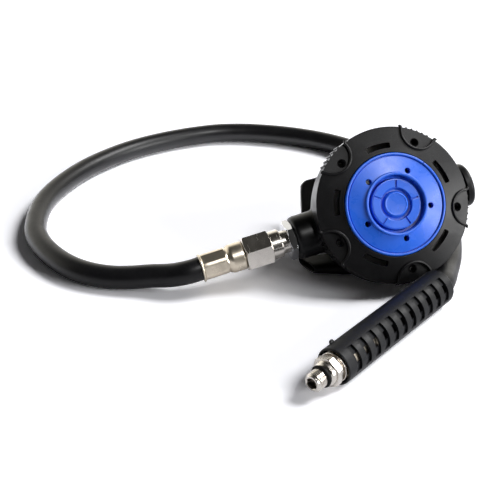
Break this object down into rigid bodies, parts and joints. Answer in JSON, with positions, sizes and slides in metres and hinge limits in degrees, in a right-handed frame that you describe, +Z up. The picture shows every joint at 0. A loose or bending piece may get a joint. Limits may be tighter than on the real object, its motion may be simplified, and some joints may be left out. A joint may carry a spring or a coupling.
{
  "type": "scuba regulator set",
  "caption": "Scuba second stage with a purge cover, mouthpiece and exhaust tee, on a low-pressure hose with a slotted protector and a threaded first-stage fitting.",
  "frame": {"origin": "bottom centre of the box round the second stage, on the floor that the set lies on", "axes": "+Z up; +X along the floor under the demand valve, from its hose inlet to its side cap; +Y from the cover's side towards the mouthpiece's side"},
  "size_m": [0.2528, 0.304, 0.08],
  "materials": {
    "case_black": "gloss",
    "ring_black": "satin",
    "blue_plastic": "satin",
    "white_plastic": "satin",
    "clear_silicone": "translucent",
    "black_silicone": "satin",
    "black_rubber": "satin",
    "hose_rubber": "satin",
    "protector_rubber": "matte",
    "nickel_plate": "satin plate on brass",
    "nickel_ferrule": "satin plate on brass",
    "zinc_plate": "bright zinc plate",
    "spring_steel": "bright",
    "brass": "machined"
  },
  "bodies": {
    "base": {"case": "case_black", "cover_ring": "ring_black", "slip_ring": "white_plastic", "purge_cover": "blue_plastic", "button_spring": "spring_steel", "diaphragm": "clear_silicone", "valve_barrel": "brass", "orifice": "brass", "orifice_o_ring": "black_rubber", "poppet_spring": "spring_steel", "spring_plug": "brass", "lock_nut": "zinc_plate", "side_cap": "case_black", "side_cap_o_ring": "black_rubber", "exhaust_valve": "clear_silicone", "exhaust_tee": "black_rubber", "mouthpiece": "black_silicone", "mouthpiece_tie": "ring_black", "hose_stem": "nickel_plate", "stem_o_ring": "black_rubber", "inlet_ferrule": "nickel_ferrule", "hose": "hose_rubber", "end_ferrule": "nickel_ferrule", "hose_fitting": "nickel_plate", "fitting_o_ring": "black_rubber", "hose_protector": "protector_rubber"},
    "button": {"purge_button": "blue_plastic"},
    "plate": {"diaphragm_plate": "white_plastic"},
    "lever": {"demand_lever": "spring_steel"},
    "poppet": {"poppet": "white_plastic", "poppet_seat": "black_rubber"},
    "swivel_nut": {"swivel_nut": "nickel_plate"}
  },
  "joints": [
    {"name": "purge_press", "type": "slide", "parent": "base", "child": "button", "axis": [0.0957, 0.848, -0.5212], "range_m": [0, 0.0025], "stiffness_N_per_m": 1500, "springref_m": -0.001, "deforming": ["button_spring"]},
    {"name": "plate_travel", "type": "slide", "parent": "base", "child": "plate", "axis": [0.0957, 0.848, -0.5212], "range_m": [0, 0.0025], "deforming": ["diaphragm"]},
    {"name": "lever_swing", "type": "hinge", "parent": "base", "child": "lever", "pos_m": [0.02825, -0.01338, 0.03824], "axis": [0.1531, -0.5299, -0.8341], "range_deg": [0, 8]},
    {"name": "poppet_slide", "type": "slide", "parent": "base", "child": "poppet", "axis": [0.9836, 0, 0.1805], "range_m": [0, 0.0006], "deforming": ["poppet_spring"]},
    {"name": "swivel_nut_spin", "type": "hinge", "parent": "base", "child": "swivel_nut", "pos_m": [-0.05969, -0.01084, 0.02048], "axis": [0.9836, 0, 0.1805], "continuous": true}
  ],
  "couplings": [
    {"joint": "plate_travel", "follows": "purge_press", "ratio": 1},
    {"joint": "lever_swing", "follows": "purge_press", "rad_per_m": 54},
    {"joint": "poppet_slide", "follows": "purge_press", "ratio": 0.2}
  ]
}
